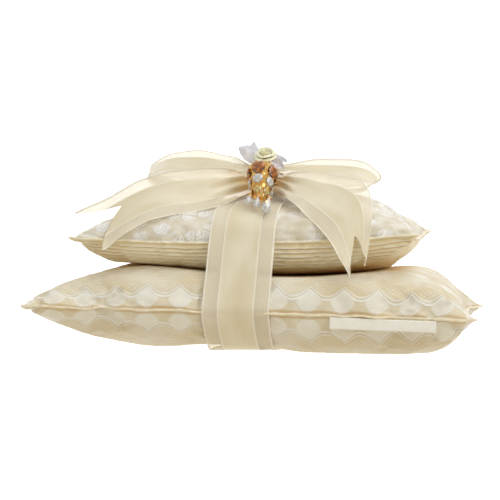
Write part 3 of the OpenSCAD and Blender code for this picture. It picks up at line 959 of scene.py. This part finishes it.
def petal(shape, turn, wide, inner, outer, base, high, curl):
    """One folded satin petal: it leans from the inner to the outer radius and its lip curls over."""
    t = np.linspace(-1, 1, 25)[:, None]
    s = np.linspace(0, 1, 21)[None, :]
    lean = inner + (outer - inner) * s ** 1.6
    lip = ease((s - 0.78) / 0.22)
    radius = lean * (1 - 0.18 * t ** 4) + curl * lip
    height = base + high * (1 - 0.22 * np.abs(t) ** 3) * (s - 0.16 * lip * (1 + curl))
    angle = turn + t * wide * (0.55 + 0.45 * s)
    points = spread(radius * np.cos(angle), radius * np.sin(angle), height)
    shape.shell(on_rose(points), PETAL_THICK, spread(t * wide * outer, high * s))


def rose():
    """A folded satin ribbon rose: a tight spiral bud and two rounds of open petals."""
    shape = Shape()
    turns = np.linspace(0, 2.6 * 2 * math.pi, 150)[:, None]
    share = turns / turns[-1]
    s = np.linspace(0, 1, 15)[None, :]
    radius = 0.5 + 2.6 * share + 0.35 * s + 0.35 * ease((s - 0.75) / 0.25)
    height = ROSE_H * (0.93 - 0.08 * share) * s + 0.25 * np.sin(3 * turns) * s
    points = spread(radius * np.cos(turns), radius * np.sin(turns), height)
    shape.shell(on_rose(points), PETAL_THICK, spread(3 * turns, height))
    for k in range(4):
        petal(shape, 0.4 + k * math.pi / 2, 0.95, 2.6, 4.3, 0, ROSE_H * 0.93, 0.7)
    for k in range(5):
        petal(shape, 0.1 + k * 2 * math.pi / 5, 0.82, 3.0, 5.3, -0.3, ROSE_H * 0.72, 1.0)
    return shape


def leaf(shape, stations, seed):
    """A crisp organza leaf with a creased middle and a slightly torn edge."""
    length, half_width, thick = 14, 5, 0.12
    t = np.linspace(0, 1, 40)[:, None]
    rows = resample(np.asarray(stations, float), t.ravel())
    across = np.linspace(-1, 1, 25)
    ragged = 1 + 0.06 * ripples(seed, 0.1, 0.3)(t) * np.abs(across)
    points = rows[:, None, :3] + rows[:, None, 3:] * (across * ragged)[..., None]
    fold = 1.1 * np.abs(across) + 0.3 * np.sin(9 * t)
    points = points + normals(points) * fold[..., None]
    shape.shell(points, thick, spread(t * length, across * half_width))


# ---- Pendant ----
def rotation(axis, degrees):
    """A turn round X, Y or Z."""
    return Matrix.Rotation(math.radians(degrees), 4, axis)


IN_PENDANT = Matrix.Translation(PIVOT) @ rotation("X", -PENDANT_LEAN)


def at_stone(row, k):
    """Where stone k of a row sits: its own Z points out of the setting."""
    radius, height, _ = row
    turned = IN_PENDANT @ rotation("Z", ROW_TURN - 90 + 360 / STONES_IN_ROW * k)
    return turned @ Matrix.Translation((radius, 0, height)) @ rotation("Y", 90 + ROW_LEAN)


def rings_to_mesh(shape, rings, matrix, painted_lights=None):
    """Joins rings of as many points each and closes the ends. Each ring's painted light level goes to the
    paint, made lighter and darker on alternate points as painted glints.
    """
    sides = len(rings[0])
    points = [matrix @ Vector(p) for ring in rings for p in ring]
    faces = []
    for r in range(len(rings) - 1):
        for k in range(sides):
            a, b = r * sides + k, r * sides + (k + 1) % sides
            faces += [[a, b, b + sides], [a, b + sides, a + sides]]
    faces += [list(range(sides))[::-1], [(len(rings) - 1) * sides + k for k in range(sides)]]
    # painted glints: alternate corners of each ring are painted lighter and darker
    painted_glint = [0.4, -0.4] * (sides // 2)
    flat = [(painted_light + change, 0) for painted_light in painted_lights or [PLAIN_PAINTED_LIGHT] * len(rings) for change in painted_glint]
    shape.add([tuple(p) for p in points], faces, flat)


def ring_points(radius, z, sides=8, turn=0.0):
    """The corners of a level polygon."""
    angles = [turn + 2 * math.pi * k / sides for k in range(sides)]
    return [(radius * math.cos(a), radius * math.sin(a), z) for a in angles]


def cut_stones(row):
    """A row of round stones with cut crowns and pointed backs."""
    shape = Shape()
    r = row[2] / 2
    half = math.pi / 8
    cut = [(0.12 * r, -0.82, 0), (0.97 * r, -0.2, half), (r, 0, half), (0.8 * r, 0.17 * r, 0),
           (0.56 * r, 0.29 * r, half)]
    for k in range(STONES_IN_ROW):
        rings = [ring_points(size, z, turn=turn) for size, z, turn in cut]
        rings_to_mesh(shape, rings, at_stone(row, k), STONE_PAINTED_LIGHT)
    return shape


def prongs():
    """Four small gold claws on the rim of every stone."""
    shape = Shape()
    for row in ROWS.values():
        away = 1.03 * row[2] / 2
        bead = 0.16 + 0.032 * row[2]
        rings = [ring_points(bead * math.sin(t), -bead * math.cos(t)) for t in np.linspace(0.25, 2.9, 6)]
        for k in range(STONES_IN_ROW):
            for claw in ring_points(away, 0.2, 4, math.pi / 4):
                rings_to_mesh(shape, rings, at_stone(row, k) @ Matrix.Translation(claw))
    return shape


def crystal(drop):
    """A faceted teardrop with a flat neck where its ring passes."""
    pivot, length, r, held_off = drop
    matrix = IN_PENDANT @ Matrix.Translation(pivot) @ rotation("X", PENDANT_LEAN - DROP_LEAN - held_off)
    hole = -DROP_RING_DROP - DROP_RING_R
    shoulder = hole - 0.22 * (length + hole)
    outline = [
        (0.2 * r, -length), (0.72 * r, -length + 0.32 * r), (r, -length + 0.95 * r),
        (0.8 * r, -length + 1.55 * r), (0.42 * r, shoulder), (0.75, hole - 0.5), (0.55, hole + 0.75),
    ]
    shape = Shape()
    rings = [ring_points(size, z, turn=(k % 2) * math.pi / 8) for k, (size, z) in enumerate(outline)]
    rings_to_mesh(shape, rings, matrix)
    return shape


# ---- Assembly ----
PAINTS = {
    "fibre": fibre(),
    # the top copy carries the painted warm shade where the upper cushion lies on it; the bottom copy has none
    "jacquard_top": jacquard("wave_jacquard_top", 1.0),
    "jacquard_bottom": jacquard("wave_jacquard_bottom", 0.0),
    "embroidered": embroidered(),
    "pintuck": pintuck_satin(),
    "ribbon": ribbon_satin(),
    "rose": plain_satin("rose_satin", tint(254, 252, 212), tint(255, 255, 242)),
    "label": plain_satin("label_satin", tint(246, 242, 228), tint(250, 247, 238)),
    "piping": plain_satin("seam_piping", tint(240, 226, 190), tint(252, 244, 220)),
    "organza": organza(),
    "thread": plain_satin("thread", tint(240, 232, 208), tint(250, 246, 230)),
    "gold": gold(),
    "amber_stone": gem("amber_stone", tint(66, 28, 2), tint(222, 132, 36), 0.1),
    "golden_stone": gem("golden_stone", tint(150, 100, 24), tint(255, 236, 150), 0.1),
    "clear_stone": gem("clear_stone", tint(190, 190, 182), tint(255, 255, 255), 0.2, 1.7),
}


def repaint(node, paint):
    """Gives a carried-over CAD node its procedural material."""
    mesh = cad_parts[node].data
    mesh.materials.clear()
    mesh.materials.append(PAINTS[paint])


def make_cushions():
    """Both cushions and the label. Returns the outer surfaces that the strap goes round."""
    lower = cushion(LOWER, 3, ("jacquard_top", "jacquard_bottom"), ("jacquard", "jacquard"))
    upper = cushion(UPPER, 8, ("embroidered", "pintuck"), ("embroidered_satin", "pintuck_satin"))
    front_seam = lower[0][:, 0]
    label = side_label(front_seam).build("side_label_cloth", PAINTS["label"])
    place(label, "pillow", "label_satin", "side_label")
    return lower + upper


def make_ribbon(surfaces):
    """The strap, the knot and the bow."""
    lengths = {
        "ribbon_wrap": (ribbon_wrap(surfaces), "stretched"),
        "ribbon_knot": (ribbon_knot(), "gathered"),
        "bow_loop_left": (ribbon(LOOP_LEFT, 21), "folded"),
        "bow_loop_right": (ribbon(LOOP_RIGHT, 31), "folded"),
        "bow_tail_left": (ribbon(TAIL_LEFT, 41, notch=TAIL_NOTCH, notch_at=0.3), "draped"),
        "bow_tail_right": (ribbon(TAIL_RIGHT, 51, notch=TAIL_NOTCH), "draped"),
    }
    for node, ((shape, length), held) in lengths.items():
        piece = shape.build(f"{node}_cloth", PAINTS["ribbon"])
        place(piece, "pillow", "ribbon_satin", node)


def make_rose():
    """The rose, its leaves and the thread that holds them."""
    flower = rose().build("rose_petals", PAINTS["rose"])
    place(flower, "pillow", "rose_satin", "rose")
    for name, stations in LEAVES.items():
        shape = Shape()
        for k, one in enumerate(stations):
            leaf(shape, one, 60 + k)
        piece = shape.build(f"{name}_cloth", PAINTS["organza"])
        place(piece, "pillow", "organza", name)
    repaint("sewing_stitches", "thread")


def make_pendant():
    """The gold pieces, the stones with their claws and the drops."""
    for node in ("pendant_bail", "pendant_frame", "drop_ring_front", "drop_ring_left", "drop_ring_right"):
        repaint(node, "gold")
    place(prongs().build("stone_prongs", PAINTS["gold"]), "pendant", "gold_metal")
    for node, row in ROWS.items():
        slot = node.removesuffix("s")
        stones = cut_stones(row).build(f"{node}_cut", PAINTS[slot], smooth=False)
        place(stones, "pendant", slot, node)
    for side, drop in DROPS.items():
        node = f"crystal_drop_{side}"
        teardrop = crystal(drop).build(f"{node}_cut", PAINTS["clear_stone"], smooth=False)
        place(teardrop, f"{side}_drop", "clear_stone", node)


def make_floor(scene):
    """A white floor with white walls round it. Only the floor and backdrop show in glossy surfaces."""
    white = Paint("white_floor", 0.9, Emission_Color=(1, 1, 1, 1), Emission_Strength=1.0)
    white.color(white.blend(white.noise(400), tint(246, 246, 246), tint(252, 252, 252)))
    side, front, back, low, high = 6, -3, 4, -0.0005, 3
    ground = [(-side, front, low), (side, front, low), (side, back, low), (-side, back, low)]
    sheets = [("floor", ground)]
    for name, k in (("backdrop", 2), ("wall_front", 0), ("wall_right", 1), ("wall_left", 3)):
        a, b = ground[k], ground[(k + 1) % 4]
        sheets.append((name, [a, b, (*b[:2], high), (*a[:2], high)]))
    for name, corners in sheets:
        mesh = bpy.data.meshes.new(name)
        mesh.from_pydata(corners, [], [(0, 1, 2, 3)])
        mesh.materials.append(white.material)
        sheet = bpy.data.objects.new(name, mesh)
        sheet.visible_diffuse = False
        if name.startswith("wall"):
            sheet.visible_glossy = False
            sheet.visible_transmission = False
            sheet.visible_shadow = False
        scene.collection.objects.link(sheet)


def make_sky(scene):
    """Soft light from all round, by height."""
    world = bpy.data.worlds.new("studio")
    world.use_nodes = True
    sky = world.node_tree.nodes
    background = sky["Background"]
    direction = sky.new("ShaderNodeTexCoord")
    split = sky.new("ShaderNodeSeparateXYZ")
    height = sky.new("ShaderNodeMapRange")
    height.inputs["From Min"].default_value = -1
    ramp = sky.new("ShaderNodeValToRGB")
    for at, shade in SKY:
        stop = ramp.color_ramp.elements.new(at)
        stop.color = (*shade, 1)
    for end in (0, -1):
        ramp.color_ramp.elements.remove(ramp.color_ramp.elements[end])
    links = world.node_tree.links
    links.new(direction.outputs["Generated"], split.inputs[0])
    links.new(split.outputs["Z"], height.inputs["Value"])
    links.new(height.outputs[0], ramp.inputs[0])
    links.new(ramp.outputs[0], background.inputs["Color"])
    scene.world = world


def make_lights(scene):
    """Two soft square lights that face the object."""
    for name, place_at, size, power in SOFTBOXES:
        light = bpy.data.lights.new(name, "AREA")
        light.size = size
        light.energy = power
        lamp = bpy.data.objects.new(name, light)
        lamp.location = place_at
        lamp.rotation_mode = "QUATERNION"
        lamp.rotation_quaternion = (LIT_POINT - Vector(place_at)).to_track_quat("-Z", "Y")
        scene.collection.objects.link(lamp)


def make_camera(scene):
    """A camera almost level with the floor, a little to the right of the front."""
    azimuth, elevation, distance = math.radians(9), math.radians(0.49), 0.9
    level = math.cos(elevation)
    back = Vector((math.sin(azimuth) * level, -math.cos(azimuth) * level, math.sin(elevation)))
    data = bpy.data.cameras.new("camera")
    data.lens = 101.2
    data.sensor_width = 36
    camera = bpy.data.objects.new("camera", data)
    camera.location = LOOK_AT * MM + back * distance
    camera.rotation_mode = "QUATERNION"
    camera.rotation_quaternion = (-back).to_track_quat("-Z", "Y")
    scene.collection.objects.link(camera)
    scene.camera = camera
    scene.view_settings.view_transform = "Standard"


for make in (make_floor, make_sky, make_lights, make_camera):
    make(bpy.context.scene)
make_ribbon(make_cushions())
make_rose()
make_pendant()
